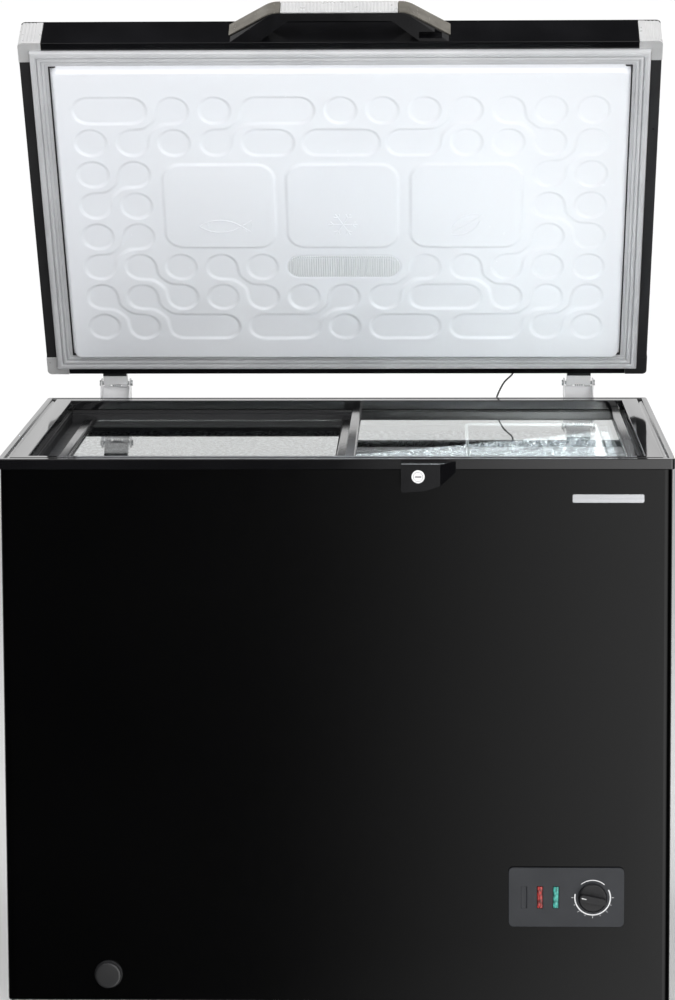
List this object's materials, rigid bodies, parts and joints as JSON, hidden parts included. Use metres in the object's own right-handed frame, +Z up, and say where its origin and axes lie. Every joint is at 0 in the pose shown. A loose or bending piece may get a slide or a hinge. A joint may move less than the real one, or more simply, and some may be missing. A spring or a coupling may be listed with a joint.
{
  "type": "chest freezer",
  "caption": "Chest freezer with a hinged lid, sliding inner glass lids, a hanging basket, a lock, a thermostat panel and a drain plug.",
  "frame": {"origin": "centre of the footprint, on the floor, with the lid standing open as in the rest pose", "axes": "+Z up, +X to the right seen from the front, +Y from the front towards the hinges at the rear"},
  "size_m": [0.9456, 0.7026, 1.4241],
  "materials": {
    "case_paint": "gloss",
    "zinc_steel": "satin",
    "foam": "matte",
    "tub_aluminium": "satin",
    "copper_tube": "satin",
    "gloss_plastic_black": "gloss",
    "black_plastic": "satin",
    "compressor_paint": "satin",
    "black_rubber": "matte",
    "panel_plastic": "satin",
    "red_lens": "gloss",
    "green_lens": "gloss",
    "knob_plastic": "satin",
    "dark_grey_plastic": "satin",
    "white_plastic": "satin",
    "chrome": "polished",
    "glass": "gloss",
    "white_wire": "satin",
    "silver_plastic": "satin",
    "lamp_lens": "satin",
    "gasket_rubber": "matte"
  },
  "bodies": {
    "cabinet": {"outer_case": "case_paint", "rear_panel": "case_paint", "base_pan": "zinc_steel", "insulation_foam": "foam", "inner_liner": "tub_aluminium", "evaporator_coil": "copper_tube", "condenser_coil": "copper_tube", "rim_frame": "gloss_plastic_black", "track_frame": "black_plastic", "foot_front_left": "black_plastic", "foot_front_right": "black_plastic", "foot_rear_left": "black_plastic", "foot_rear_right": "black_plastic", "compressor": "compressor_paint", "start_relay_box": "black_plastic", "side_grille": "black_plastic", "rear_cover": "black_plastic", "cable_gland": "black_rubber", "control_panel": "panel_plastic", "lamp_red": "red_lens", "lamp_green": "green_lens", "thermostat_body": "zinc_steel", "drain_socket": "black_plastic", "drain_tube": "white_plastic", "lock_housing": "gloss_plastic_black", "hinge_base_left": "chrome", "hinge_base_right": "chrome", "hinge_pin_left": "zinc_steel", "hinge_pin_right": "zinc_steel", "hinge_spring_left": "zinc_steel", "hinge_spring_right": "zinc_steel", "lamp_cable": "black_rubber"},
    "lid": {"hinge_arm_left": "chrome", "hinge_arm_right": "chrome", "lid_edge_front": "gloss_plastic_black", "lid_edge_rear": "gloss_plastic_black", "lid_edge_left": "dark_grey_plastic", "lid_edge_right": "dark_grey_plastic", "lid_corner_front_left": "silver_plastic", "lid_corner_front_right": "silver_plastic", "lid_corner_rear_left": "silver_plastic", "lid_corner_rear_right": "dark_grey_plastic", "lid_top_skin": "case_paint", "lid_foam": "foam", "lid_liner": "white_plastic", "lamp_lens": "lamp_lens", "lid_gasket": "gasket_rubber", "handle_body": "gloss_plastic_black", "handle_trim": "silver_plastic"},
    "glass_left": {"glass_left_pane": "glass", "glass_left_left_strip": "gloss_plastic_black", "glass_left_right_strip": "gloss_plastic_black"},
    "glass_right": {"glass_right_pane": "glass", "glass_right_left_strip": "gloss_plastic_black", "glass_right_right_strip": "gloss_plastic_black"},
    "basket": {"wire_basket": "white_wire"},
    "knob": {"thermostat_knob": "knob_plastic"},
    "lock": {"lock_barrel": "chrome", "lock_cam": "zinc_steel"},
    "drain_cap": {"drain_cap": "dark_grey_plastic"}
  },
  "joints": [
    {"name": "lid_hinge", "type": "hinge", "parent": "cabinet", "child": "lid", "pos_m": [0, 0.32779, 0.8144], "axis": [-1, 0, 0], "range_deg": [-58.2, 21.8], "deforming": ["lamp_cable", "hinge_spring_left", "hinge_spring_right"]},
    {"name": "glass_left_slide", "type": "slide", "parent": "cabinet", "child": "glass_left", "axis": [1, 0, 0], "range_m": [-0.0225, 0.4195]},
    {"name": "glass_right_slide", "type": "slide", "parent": "cabinet", "child": "glass_right", "axis": [1, 0, 0], "range_m": [-0.44, 0.003]},
    {"name": "basket_slide", "type": "slide", "parent": "cabinet", "child": "basket", "axis": [1, 0, 0], "range_m": [-0.585, 0.01]},
    {"name": "knob_turn", "type": "hinge", "parent": "cabinet", "child": "knob", "pos_m": [0.36, -0.32351, 0.17], "axis": [0, -1, 0], "range_deg": [-135, 135]},
    {"name": "lock_turn", "type": "hinge", "parent": "cabinet", "child": "lock", "pos_m": [0.1153, -0.34151, 0.7746], "axis": [0, -1, 0], "range_deg": [0, 75]},
    {"name": "drain_cap_pull", "type": "slide", "parent": "cabinet", "child": "drain_cap", "axis": [0, -1, 0], "range_m": [0, 0.025]}
  ]
}
